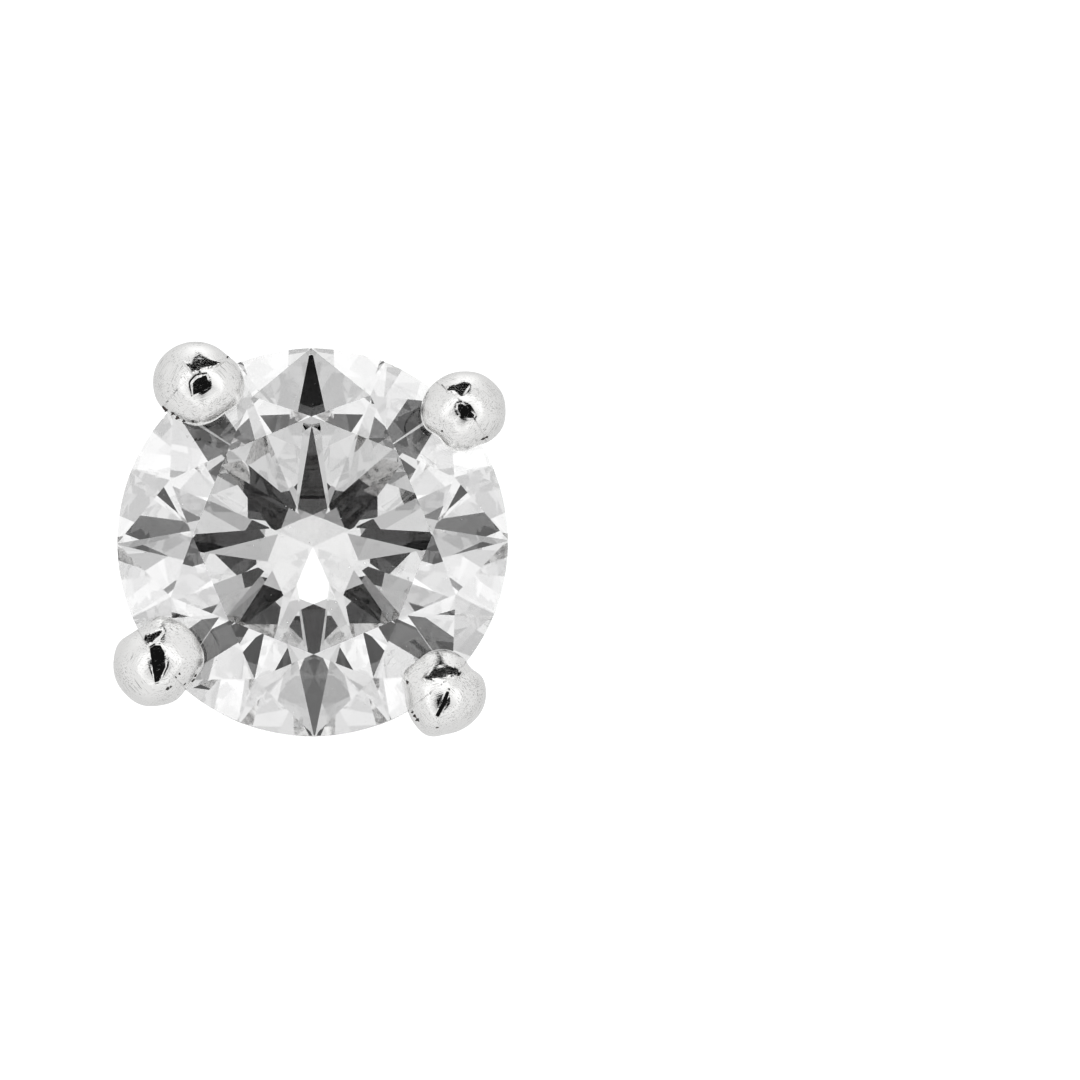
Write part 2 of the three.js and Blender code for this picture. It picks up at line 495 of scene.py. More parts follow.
class Workpiece:
    """A mesh in the making, in the stud's frame and in millimetres, or in metres for the studio."""

    def __init__(self) -> None:
        """Starts an empty mesh."""
        self.bm = bmesh.new()

    def loft(self, rings: Sequence[Sequence[Vector]]) -> None:
        """Skins a row of rings that have the same number of points, and caps both ends.

        Args:
            rings: The rings in order, each turning the same way.
        """
        made = bmesh.ops.create_circle(self.bm, cap_ends=True, radius=1, segments=len(rings[0]))
        row = sorted(made["verts"], key=lambda v: math.atan2(v.co.y, v.co.x) % FULL_TURN)
        for vert, point in zip(row, rings[0]):
            vert.co = point
        edges = self.round_edges(row)
        for points in rings[1:]:
            grown = bmesh.ops.extrude_edge_only(self.bm, edges=edges)["geom"]
            fresh = {item for item in grown if isinstance(item, bmesh.types.BMVert)}
            row = [next(e.other_vert(v) for e in v.link_edges if e.other_vert(v) in fresh) for v in row]
            for vert, point in zip(row, points):
                vert.co = point
            edges = self.round_edges(row)
        bmesh.ops.contextual_create(self.bm, geom=edges)

    @staticmethod
    def round_edges(row: Sequence[bmesh.types.BMVert]) -> list[bmesh.types.BMEdge]:
        """Returns the edges that lie between the vertices of one ring."""
        inside = set(row)
        edges = {edge for vert in row for edge in vert.link_edges}
        return [edge for edge in edges if inside.issuperset(edge.verts)]

    def carve(self, cutter: "Workpiece") -> None:
        """Takes another shape out of this one, and joins this one's own overlapping parts.

        Args:
            cutter: The shape to take out. It is used up.
        """
        bmesh.ops.recalc_face_normals(self.bm, faces=self.bm.faces)
        bmesh.ops.recalc_face_normals(cutter.bm, faces=cutter.bm.faces)
        helpers = []
        for name, work in (("blank", self), ("cutter", cutter)):
            mesh = bpy.data.meshes.new(name)
            work.bm.to_mesh(mesh)
            work.bm.free()
            helpers.append(bpy.data.objects.new(name, mesh))
            bpy.context.scene.collection.objects.link(helpers[-1])
        modifier = helpers[0].modifiers.new("seat", "BOOLEAN")
        modifier.operation = "DIFFERENCE"
        modifier.solver = "EXACT"
        modifier.use_self = True
        modifier.object = helpers[1]
        carved = helpers[0].evaluated_get(bpy.context.evaluated_depsgraph_get()).to_mesh()
        self.bm = bmesh.new()
        self.bm.from_mesh(carved)
        for helper in helpers:
            mesh = helper.data
            bpy.data.objects.remove(helper)
            bpy.data.meshes.remove(mesh)

    def line(self, points: Iterable[Vector], closed: bool = False) -> list[bmesh.types.BMEdge]:
        """Draws a row of straight edges.

        Args:
            points: The edges' ends in order.
            closed: Whether the last end is joined to the first.

        Returns:
            The edges in order.
        """
        verts = [bmesh.ops.create_vert(self.bm, co=point)["vert"][0] for point in points]
        ends = zip(verts, verts[1:] + verts[:1]) if closed else zip(verts, verts[1:])
        return [bmesh.ops.contextual_create(self.bm, geom=list(pair))["edges"][0] for pair in ends]

    def spin(self, edges: Sequence[bmesh.types.BMEdge], steps: int) -> None:
        """Turns edges a full turn about the z axis."""
        verts = list(dict.fromkeys(vert for edge in edges for vert in edge.verts))
        bmesh.ops.spin(
            self.bm,
            geom=verts + list(edges),
            cent=(0, 0, 0),
            axis=(0, 0, 1),
            angle=FULL_TURN,
            steps=steps,
            use_merge=True,
        )

    def finish(self, name: str, place: Matrix, materials: Sequence[Material]) -> bpy.types.Object:
        """Closes the mesh and makes it an object at the origin of the part's frame.

        Args:
            name: The piece's name.
            place: The matrix from the stud's frame to the part's frame.
            materials: The piece's materials in slot order.

        Returns:
            The new object.
        """
        bmesh.ops.remove_doubles(self.bm, verts=self.bm.verts, dist=MERGE_DISTANCE)
        bmesh.ops.recalc_face_normals(self.bm, faces=self.bm.faces)
        bmesh.ops.transform(self.bm, matrix=place, verts=self.bm.verts)
        mesh = bpy.data.meshes.new(name)
        self.bm.to_mesh(mesh)
        self.bm.free()
        for material in materials:
            mesh.materials.append(material)
        made = bpy.data.objects.new(name, mesh)
        bpy.context.scene.collection.objects.link(made)
        LOG.info("%s: %d faces", name, len(mesh.polygons))
        return made


def declare(piece: bpy.types.Object, slot: Slot, *nodes: str) -> None:
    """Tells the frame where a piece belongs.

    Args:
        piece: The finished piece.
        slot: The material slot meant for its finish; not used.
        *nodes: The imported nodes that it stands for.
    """
    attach(piece, ROOT)
    if nodes:
        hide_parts(*nodes)


@dataclass
class RoundStone:
    """A round brilliant, cut facet by facet from a round blank."""

    diameter: float = 5.2
    table: float = 0.612
    girdle: float = 0.105
    crown_angle: float = 34.3
    pavilion_angle: float = 40.6
    star: float = 0.51
    lower_half: float = 0.772
    turn: float = 0.5
    fold: int = 8
    blank_sides: int = 192
    fineness: float = 2e-5
    upright: float = 0.01

    @property
    def radius(self) -> float:
        """The girdle's radius."""
        return self.diameter / 2

    @property
    def culet_depth(self) -> float:
        """How far the stone's point lies below the girdle's top."""
        return self.girdle + self.radius * math.tan(math.radians(self.pavilion_angle))

    @property
    def table_radius(self) -> float:
        """How far the table's corners lie from the axis."""
        return self.table * self.radius

    @property
    def table_height(self) -> float:
        """How far the table lies above the girdle's top."""
        return (self.radius - self.table_radius) * math.tan(math.radians(self.crown_angle))

    def corners(self) -> list[tuple[Vector, Vector, Vector]]:
        """Returns three points on each facet of one eighth of the cut, without the table."""
        half = math.pi / self.fold
        crown = math.tan(math.radians(self.crown_angle))
        pavilion = math.tan(math.radians(self.pavilion_angle))
        table_edge = self.table_radius * math.cos(half)
        star_radius = table_edge + self.star * (self.radius - table_edge)
        meet_radius = self.radius * (1 - self.lower_half)
        star_height = (self.radius - star_radius * math.cos(half)) * crown
        meet_height = -self.girdle - (self.radius - meet_radius * math.cos(half)) * pavilion
        table = [around(self.table_radius, angle, self.table_height) for angle in (0, 2 * half)]
        star = [around(star_radius, angle, star_height) for angle in (half, -half)]
        meet = [around(meet_radius, angle, meet_height) for angle in (half, -half)]
        top = [around(self.radius, angle, 0) for angle in (0, half, -half)]
        low = [around(self.radius, angle, -self.girdle) for angle in (0, half, -half)]
        return [
            (table[0], star[0], top[0]),
            (table[0], table[1], star[0]),
            (star[0], top[0], top[1]),
            (star[1], top[0], top[2]),
            (meet[0], meet[1], low[0]),
            (meet[0], low[0], low[1]),
            (meet[1], low[0], low[2]),
        ]

    def cut(self, work: Workpiece, points: Sequence[Vector]) -> None:
        """Grinds one flat facet through three points.

        Args:
            work: The stone in the making.
            points: Three points on the facet.
        """
        normal = (points[1] - points[0]).cross(points[2] - points[0]).normalized()
        inside = Vector((0, 0, -self.girdle / 2))
        if normal.dot(inside - points[0]) > 0:
            normal.negate()
        geom = work.bm.verts[:] + work.bm.edges[:] + work.bm.faces[:]
        bmesh.ops.bisect_plane(
            work.bm, geom=geom, dist=self.fineness, plane_co=points[0], plane_no=normal, clear_outer=True
        )
        bmesh.ops.remove_doubles(work.bm, verts=work.bm.verts, dist=self.fineness)
        bmesh.ops.holes_fill(work.bm, edges=[edge for edge in work.bm.edges if edge.is_boundary], sides=0)

    @staticmethod
    def finishes() -> list[Material]:
        """Returns the finishes of the back facets, the girdle and the dusty front facets."""
        front = CutStone(name="dusty clear stone", dusty=True)
        return [CutStone().build(), FrostedGirdle().build(), front.build()]

    def skin(self, slope: float) -> StoneSkin:
        """Returns the finish of a face whose normal rises by a slope along z."""
        if abs(slope) < self.upright:
            return StoneSkin.GIRDLE
        return StoneSkin.FRONT if slope > 0 else StoneSkin.BACK

    def build(self, place: Matrix) -> bpy.types.Object:
        """Cuts the stone.

        Args:
            place: The matrix from the stud's frame to the part's frame.

        Returns:
            The stone, with frosted sides and polished facets.
        """
        work = Workpiece()
        bmesh.ops.create_cone(
            work.bm,
            cap_ends=True,
            segments=self.blank_sides,
            radius1=self.radius,
            radius2=self.radius,
            depth=2 * self.diameter,
        )
        self.cut(work, [around(self.radius, angle, self.table_height) for angle in (0, 2, 4)])
        for eighth in range(self.fold):
            turn = Matrix.Rotation(eighth * FULL_TURN / self.fold, 3, "Z")
            for facet in self.corners():
                self.cut(work, [turn @ point for point in facet])
        for face in work.bm.faces:
            face.material_index = self.skin(face.normal.z)
        turn = Matrix.Rotation(math.radians(self.turn), 3, "Z")
        bmesh.ops.rotate(work.bm, verts=work.bm.verts, cent=(0, 0, 0), matrix=turn)
        piece = work.finish("brilliant_stone", place, self.finishes())
        declare(piece, Slot.STONE, "round_stone")
        return piece


@dataclass(frozen=True)
class Claw:
    """One claw: where its tip stands, its hand-filed outline, and where the top of its dome lies.

    The outline holds the tip's reach in sixteen directions from the right, anticlockwise, as shares of
    the bead's radius. The crest is the place of the dome's top. The flat and the brow have the corners of
    the two spots that the file left on it, in the same shares. Each burr has its place in the same shares
    and its length in millimetres.
    """

    name: str
    azimuth: float
    outset: float
    outline: tuple[float, ...]
    crest: Pair
    flat: tuple[Pair, ...]
    brow: tuple[Pair, ...]
    burrs: tuple[tuple[float, float, float], ...]
    brow_band: float = 0.03
    brow_sink: float = 0.01

    def reach(self, angle: float) -> float:
        """Returns the outline's reach at an angle, smoothly between its sixteen directions."""
        turn = (angle / FULL_TURN) % 1 * COMPASS_POINTS
        step = int(turn)
        share = turn - step
        near = [self.outline[(step + offset) % COMPASS_POINTS] for offset in (-1, 0, 1, 2)]
        slope_a = (near[2] - near[0]) / 2
        slope_b = (near[3] - near[1]) / 2
        rise = near[2] - near[1]
        return (
            near[1]
            + slope_a * share
            + (3 * rise - 2 * slope_a - slope_b) * share**2
            + (slope_a + slope_b - 2 * rise) * share**3
        )

    def dome(self, spot: Vector) -> float:
        """Returns the height over a spot of a dome one unit high, fuller towards the stone."""
        angle = 0.0
        share = min(1.0, spot.length)
        for _ in range(CREST_ROUNDS):
            from_crest = spot - Vector(self.crest) * (1 - share**2)
            angle = math.atan2(from_crest.y, from_crest.x)
            share = min(1.0, from_crest.length / self.reach(angle))
        inward = max(0.0, -math.cos(angle - math.radians(self.azimuth)))
        return math.sqrt(1 - share**2) * (1 - inward) + (1 - share**2 / 2) * inward

    def brow_share(self, spot: Vector) -> float:
        """Returns 1 inside the brow and 0 outside it, with a narrow soft band inside its edge."""
        inside = False
        nearest = self.brow_band
        corners = [Vector(corner) for corner in self.brow]
        for start, end in zip(corners, corners[1:] + corners[:1]):
            if (start.y > spot.y) != (end.y > spot.y):
                across = start.x + (spot.y - start.y) / (end.y - start.y) * (end.x - start.x)
                inside ^= spot.x < across
            side = end - start
            along = min(1.0, max(0.0, (spot - start).dot(side) / side.length_squared))
            nearest = min(nearest, (spot - start - side * along).length)
        return nearest / self.brow_band if inside else 0.0

    def filed_dome(self, spot: Vector, lean: float) -> float:
        """Returns the dome's height over a spot, with the brow filed flat.

        Args:
            spot: The place on the tip, as shares of the bead's radius.
            lean: How steeply the brow falls away towards the top.

        Returns:
            The height as a share of the dome's.
        """
        share = self.brow_share(spot)
        height = self.dome(spot)
        if not share:
            return height
        middle = sum((Vector(corner) for corner in self.brow), Vector((0, 0))) / len(self.brow)
        plane = self.dome(middle) - self.brow_sink - (spot.y - middle.y) * lean
        return height + (plane - height) * share

    def flat_edge(self, angle: float) -> Vector:
        """Returns the point of the flat's edge that lies at an angle from its middle."""
        corners = [Vector(corner) for corner in self.flat]
        middle = sum(corners, Vector((0, 0))) / len(corners)
        ray = Vector((math.cos(angle), math.sin(angle)))
        reach = 0.0
        for start, end in zip(corners, corners[1:] + corners[:1]):
            start, side = start - middle, end - start
            across = ray.cross(side)
            if abs(across) > 1e-9 and -1e-6 <= start.cross(ray) / across <= 1 + 1e-6:
                reach = max(reach, start.cross(side) / across)
        return middle + ray * reach


CLAWS = (
    Claw(
        name="upper_left",
        azimuth=126.5,
        outset=-0.015,
        outline=(
            1.13, 1.09, 1.01, 1.02, 1.035, 1.05, 1.065, 1.07, 1.045, 1.02, 0.96, 0.94, 0.985, 0.975,
            0.975, 1.10,
        ),
        crest=(0.13, -0.03),
        flat=(
            (-0.1, -0.08), (0.02, 0.04), (0.22, 0.1), (0.27, 0.0), (0.26, -0.2), (0.14, -0.28),
            (-0.08, -0.36),
        ),
        brow=(
            (-0.36, 0.47), (-0.16, 0.42), (0.03, 0.56), (0.24, 0.56), (0.68, 0.45), (0.42, 0.28),
            (0.18, 0.25), (-0.1, 0.09),
        ),
        burrs=(
            (-0.79, -0.56, 0.05), (-0.73, -0.62, 0.04), (-0.57, -0.72, 0.045), (-0.45, -0.82, 0.05),
            (-0.3, -0.9, 0.04), (-0.1, -0.93, 0.035), (0.72, 0.62, 0.03),
        ),
    ),
    Claw(
        name="upper_right",
        azimuth=40.4,
        outset=0.065,
        outline=(
            0.963, 0.975, 0.96, 0.958, 0.946, 0.96, 0.986, 1.02, 1.058, 1.045, 0.91, 0.99, 0.972,
            0.89, 0.937, 0.972,
        ),
        crest=(0.0, -0.02),
        flat=(
            (-0.17, 0.03), (-0.07, 0.04), (0.05, -0.05), (0.21, -0.22), (0.19, -0.29), (0.0, -0.29),
            (-0.12, -0.2), (-0.19, -0.08),
        ),
        brow=(
            (-0.5, 0.48), (-0.14, 0.6), (0.16, 0.54), (0.05, 0.36), (-0.08, 0.2), (-0.24, 0.33),
            (-0.43, 0.31),
        ),
        burrs=((-0.55, -0.56, 0.025), (0.42, -0.72, 0.04), (0.5, -0.68, 0.03)),
    ),
    Claw(
        name="lower_left",
        azimuth=218.4,
        outset=-0.007,
        outline=(
            1.06, 1.01, 0.984, 1.0, 1.03, 0.915, 0.925, 1.055, 1.093, 1.134, 1.143, 1.15, 1.08, 1.027,
            0.93, 0.975,
        ),
        crest=(0.04, -0.14),
        flat=(
            (-0.22, 0.16), (-0.1, 0.24), (0.03, 0.24), (0.13, 0.06), (0.15, -0.26), (0.0, -0.6),
            (-0.1, -0.63), (-0.16, -0.3),
        ),
        brow=(
            (-0.4, 0.39), (-0.37, 0.54), (-0.14, 0.6), (0.04, 0.72), (0.15, 0.63), (0.04, 0.45),
            (-0.12, 0.33), (-0.28, 0.25),
        ),
        burrs=(
            (0.2, -0.76, 0.04), (0.27, -0.72, 0.03), (0.48, -0.42, 0.022), (0.4, -0.5, 0.02),
            (0.8, -0.5, 0.04), (0.86, -0.4, 0.03), (0.6, -0.62, 0.025),
        ),
    ),
    Claw(
        name="lower_right",
        azimuth=310.6,
        outset=0.107,
        outline=(
            0.967, 0.96, 0.86, 0.95, 1.01, 1.015, 0.99, 1.08, 0.975, 0.984, 1.034, 1.09, 0.977, 0.946,
            0.941, 0.96,
        ),
        crest=(-0.08, -0.18),
        flat=(
            (0.02, -0.06), (0.09, -0.08), (0.01, -0.36), (-0.17, -0.67), (-0.24, -0.63),
            (-0.1, -0.36),
        ),
        brow=(
            (-0.56, 0.27), (-0.38, 0.46), (-0.1, 0.6), (0.17, 0.6), (0.42, 0.44), (0.38, 0.28),
            (0.05, 0.3), (-0.19, 0.22), (-0.36, 0.15), (-0.54, 0.17),
        ),
        burrs=(
            (-0.72, -0.6, 0.04), (-0.66, -0.68, 0.045), (-0.9, 0.2, 0.035), (-0.2, -0.88, 0.025),
            (-0.78, -0.5, 0.03),
        ),
    ),
)


@dataclass
class ClawSetting:
    """The soldered basket: claws, rails, base plate and ear post."""

    stone: RoundStone
    bead_radius: float = 0.56
    bead_height: float = 0.56
    flat_lean: float = 7.1
    brow_lean: float = 27.5
    bead_drop: float = 0.02
    bead_rise: float = 0.34
    leg_top: float = 0.5
    leg_foot: float = 0.36
    foot_circle: float = 1.0
    culet_clearance: float = 0.72
    rail_wire: float = 0.31
    rail_shares: Pair = (0.42, 0.79)
    plate_margin: float = 0.25
    plate_thickness: float = 0.45
    plate_edge: float = 0.1485
    plate_ring: float = 0.6
    plate_sink: float = 0.12
    post_radius: float = 0.43
    post_length: float = 9.6
    post_tip: float = 0.3
    groove_depth: float = 0.09
    groove_width: float = 0.5
    groove_from_tip: float = 1.9
    sides: int = 144
    leg_steps: tuple[float, ...] = (0, 0.25, 0.5, 0.7, 0.8)
    neck_turns: tuple[float, ...] = (-38, -24, -12)
    tip_rings: int = 38
    terrace: tuple[float, ...] = (0.05, 0.065, 0.08, 0.095)
    terrace_gap: float = 0.01
    flat_steps: tuple[float, ...] = (1.0, 0.9, 0.5)
    burr_shape: tuple[float, float, float] = (1.0, 0.4, 0.3)
    # How far the painted burr shadow reaches, as a share of the burr's length.
    burr_shadow_reach: float = 0.6
    wire_sides: int = 32
    rail_steps: int = 128
    plate_steps: int = 96
    post_steps: int = 64
    groove_steps: int = 12
    room_steps: int = 128
    seat_gap: float = 0.04
    polish_from: float = -0.05
    wheel_reach: float = 0.25
    crown_band: float = 0.03
    rim_band: float = 0.01
    sharp_angle: float = 32.0
    metal: PolishedGold = field(default_factory=PolishedGold)
    inner: BrightCastGold = field(default_factory=BrightCastGold)
    # The painted shadow round the burrs.
    burr_shadow: PaintedBurrShadow = field(default_factory=PaintedBurrShadow)
    seed: int = 7

    @property
    def basket_depth(self) -> float:
        """How far the base plate's top lies below the girdle's top."""
        return self.stone.culet_depth + self.culet_clearance

    @property
    def plate_back(self) -> float:
        """How far the base plate's back lies below the girdle's top."""
        return self.basket_depth + self.plate_thickness

    @property
    def seat_height(self) -> float:
        """How far the flat mount's point lies from the stud's axis."""
        flat_edge = self.foot_circle + self.plate_margin - self.plate_edge
        return (flat_edge + self.post_radius) / 2

    def bead_centre(self, claw: Claw) -> Vector:
        """Returns the middle of a claw's tip."""
        middle = around(self.stone.radius + claw.outset, math.radians(claw.azimuth), self.bead_rise)
        return middle - Vector((0, self.bead_drop, 0))

    def claw(self, work: Workpiece, claw: Claw) -> None:
        """Adds one claw as a single skin, from its foot in the base plate to the flat on its tip.

        Args:
            work: The metal in the making.
            claw: The claw's own sizes.
        """
        foot = around(self.foot_circle, math.radians(claw.azimuth), -self.basket_depth - self.plate_sink)
        head = self.bead_centre(claw)
        along = (head - foot).normalized()
        right = Vector((0, 1, 0)).cross(along).normalized()
        up = along.cross(right)
        angles = [FULL_TURN * i / self.sides for i in range(self.sides)]
        rings = []
        length = (head - foot).length
        for share in self.leg_steps:
            centre = foot + along * length * share
            radius = self.leg_foot + (self.leg_top - self.leg_foot) * share
            rings.append([centre + (right * math.cos(a) + up * math.sin(a)) * radius for a in angles])
        for degrees in self.neck_turns:
            turn = math.radians(degrees)
            spread = math.cos(turn) * self.bead_radius
            rise = math.sin(turn) * self.bead_height
            rings.append([head + around(claw.reach(a) * spread, a, rise) for a in angles])
        rings += self.tip(claw, angles)
        work.loft(rings)

    def on_bead(self, claw: Claw, spot: Vector, rise: float) -> Vector:
        """Returns the place on a claw's tip.

        Args:
            claw: The claw's own sizes.
            spot: The place across the tip, as shares of the bead's radius.
            rise: The height there, as a share of the dome's.

        Returns:
            The place in the stud's frame.
        """
        shift = Vector((spot.x * self.bead_radius, spot.y * self.bead_radius, rise * self.bead_height))
        return self.bead_centre(claw) + shift

    def burr_places(self, claw: Claw) -> list[tuple[Vector, float]]:
        """Returns the place and the length of each burr on a claw's tip."""
        places = []
        for across, above, length in claw.burrs:
            spot = Vector((across, above))
            places.append((self.on_bead(claw, spot, claw.dome(spot)), length))
        return places

    def burrs(self, work: Workpiece, claw: Claw, chance: random.Random) -> None:
        """Adds the small slivers that the file turned up on a claw's tip.

        Args:
            work: The metal in the making.
            claw: The claw's own sizes.
            chance: The source of each sliver's direction.
        """
        for place, length in self.burr_places(claw):
            turn = Matrix.Rotation(chance.uniform(0, FULL_TURN), 4, "Z")
            thin = Matrix.Diagonal((*(length * share for share in self.burr_shape), 1))
            matrix = Matrix.Translation(place) @ turn @ thin
            bmesh.ops.create_icosphere(work.bm, subdivisions=1, radius=1, matrix=matrix)

    def surface(self, face: bmesh.types.BMFace, burrs: Sequence[tuple[Vector, float]]) -> MetalSkin:
        """Finds a face's finish.

        Args:
            face: The face of the metal's skin.
            burrs: The place and the length of each burr.

        Returns:
            The finish, which is the painted burr shadow on the faces round each burr.
        """
        spot = face.calc_center_median()
        # Painted shadow: faces close to a burr get the near-black finish that stands in for the burr's
        # shade.
        if any((spot - place).length < length * self.burr_shadow_reach for place, length in burrs):
            return MetalSkin.BURR_SHADOW
        return MetalSkin.POLISHED if self.is_polished(spot, face.normal) else MetalSkin.CAST

    def tip(self, claw: Claw, angles: Sequence[float]) -> list[list[Vector]]:
        """Returns the rings of a claw's tip, from its widest part to inside the flat on its top.

        Args:
            claw: The claw's own sizes.
            angles: The directions of each ring's points.

        Returns:
            The rings in order.
        """
        outer = [Vector((math.cos(a), math.sin(a))) * claw.reach(a) for a in angles]
        inner = [claw.flat_edge(a) for a in angles]
        lean = math.tan(math.radians(self.flat_lean)) * self.bead_radius / self.bead_height
        brow_lean = math.tan(math.radians(self.brow_lean)) * self.bead_radius / self.bead_height
        base = sum(claw.dome(spot) - spot.y * lean for spot in inner) / len(inner)
        middle = sum(inner, Vector((0, 0))) / len(inner)
        shares = [math.cos(math.pi / 2 * step / self.tip_rings) for step in range(self.tip_rings)]
        shares = [share for share in shares if share > self.terrace[-1] + self.terrace_gap]
        spots = []
        for share in shares + [*reversed(self.terrace)]:
            ring = [start.lerp(end, share) for start, end in zip(inner, outer)]
            spots.append([(spot, claw.filed_dome(spot, brow_lean) if share < 1 else 0.0) for spot in ring])
        step = spots[-len(self.terrace)]
        for ring in spots[1 - len(self.terrace) :]:
            ring[:] = [(spot, low + (spot.y - edge.y) * lean) for (spot, _), (edge, low) in zip(ring, step)]
        for share in self.flat_steps:
            ring = [middle.lerp(spot, share) for spot in inner]
            spots.append([(spot, base + spot.y * lean) for spot in ring])
        return [[self.on_bead(claw, spot, rise) for spot, rise in ring] for ring in spots]

    def rail(self, work: Workpiece, depth_share: float) -> None:
        """Adds a round wire ring through the middles of the legs.

        Args:
            work: The metal in the making.
            depth_share: The ring's depth as a share of the basket's.
        """
        depth = depth_share * self.basket_depth
        span = self.basket_depth + self.plate_sink
        climbed = (span - depth) / (span + self.bead_rise)
        radius = self.foot_circle + (self.stone.radius - self.foot_circle) * climbed
        turn = Matrix.Rotation(math.pi / 2, 4, "X")
        matrix = Matrix.Translation((radius, 0, -depth)) @ turn
        made = bmesh.ops.create_circle(
            work.bm, cap_ends=False, radius=self.rail_wire, segments=self.wire_sides, matrix=matrix
        )
        work.spin(list({edge for vert in made["verts"] for edge in vert.link_edges}), self.rail_steps)

    def plate(self, work: Workpiece) -> None:
        """Adds the round base plate with its rounded rim."""
        back = -self.plate_back
        top = -self.basket_depth
        edge = self.plate_edge
        shoulder = self.foot_circle + self.plate_margin - edge
        profile = [
            Vector((0, 0, back)),
            Vector((shoulder * self.plate_ring, 0, back)),
            *arc(Vector((shoulder, 0, back + edge)), edge, edge, range(-90, 1, 15)),
            *arc(Vector((shoulder, 0, top - edge)), edge, edge, range(0, 91, 15)),
            Vector((0, 0, top)),
        ]
        work.spin(work.line(profile), self.plate_steps)

    def post(self, work: Workpiece) -> None:
        """Adds the straight ear post with its groove and rounded tip."""
        root = -self.basket_depth - self.plate_thickness / 2
        tip = -self.plate_back - self.post_length
        groove = tip + self.groove_from_tip
        end = Vector((0, 0, tip + self.post_tip))
        profile = arc(end, self.post_radius, self.post_tip, range(-90, 1, 10))
        for step in range(self.groove_steps + 1):
            share = step / self.groove_steps
            dip = self.groove_depth * math.sin(math.pi * share) ** 2
            profile.append(Vector((self.post_radius - dip, 0, groove + (share - 0.5) * self.groove_width)))
        profile += [Vector((self.post_radius, 0, root)), Vector((0, 0, root))]
        work.spin(work.line(profile), self.post_steps)

    def is_polished(self, spot: Vector, normal: Vector) -> bool:
        """Tells whether the polishing wheel reaches a spot of the metal's skin.

        What looks at the stone from behind is out of its reach, and so is the seat cut for the stone.

        Args:
            spot: The place of the spot.
            normal: The outward normal there.

        Returns:
            Whether the spot is polished.
        """
        if spot.z < self.polish_from:
            to_stone = Vector((0, 0, -self.stone.culet_depth / 3)) - spot
            return normal.dot(to_stone.normalized()) < self.wheel_reach
        reach = math.hypot(spot.x, spot.y)
        rim = self.stone.radius + self.seat_gap
        crown = (rim - reach) * math.tan(math.radians(self.stone.crown_angle))
        on_crown = abs(spot.z - crown - self.seat_gap / 2) < self.crown_band
        on_rim = abs(reach - rim) < self.rim_band
        return not ((on_crown or on_rim) and reach < rim + self.seat_gap)

    def stone_room(self) -> Workpiece:
        """Returns the room that the bur makes for the stone, a little larger than the stone all round."""
        stone, gap = self.stone, self.seat_gap
        rim = stone.radius + gap
        profile = [
            Vector((0, 0, -stone.culet_depth - gap)),
            Vector((rim, 0, -stone.girdle - gap)),
            Vector((rim, 0, gap / 2)),
            Vector((stone.table_radius + gap, 0, stone.table_height + gap)),
            Vector((0, 0, stone.table_height + gap)),
        ]
        room = Workpiece()
        room.spin(room.line(profile), self.room_steps)
        bmesh.ops.remove_doubles(room.bm, verts=room.bm.verts, dist=MERGE_DISTANCE)
        return room

    def build(self, place: Matrix) -> bpy.types.Object:
        """Makes the metal.

        Args:
            place: The matrix from the stud's frame to the part's frame.

        Returns:
            The whole setting as one piece.
        """
        work = Workpiece()
        chance = random.Random(self.seed)
        for claw in CLAWS:
            self.claw(work, claw)
            self.burrs(work, claw, chance)
            LOG.info("claw %s: %d burrs", claw.name, len(claw.burrs))
        for share in self.rail_shares:
            self.rail(work, share)
        self.plate(work)
        self.post(work)
        work.carve(self.stone_room())
        burrs = [burr for claw in CLAWS for burr in self.burr_places(claw)]
        work.bm.normal_update()
        for face in work.bm.faces:
            face.material_index = self.surface(face, burrs)
        finishes = [finish.build() for finish in (self.metal, self.inner, self.burr_shadow)]
        piece = work.finish("soldered_setting", place, finishes)
        for polygon in piece.data.polygons:
            polygon.use_smooth = True
        piece.data.set_sharp_from_angle(angle=math.radians(self.sharp_angle))
        declare(piece, Slot.METAL, "claw_setting")
        return piece


@dataclass(frozen=True)
class Shade:
    """A softly darker side of the tent, as the stud sees it with the camera straight ahead.

    The turn is clockwise from straight up and the angle is from the camera, both in degrees.
    """

    name: str
    turn: float
    angle: float
    spread: float
    depth: float


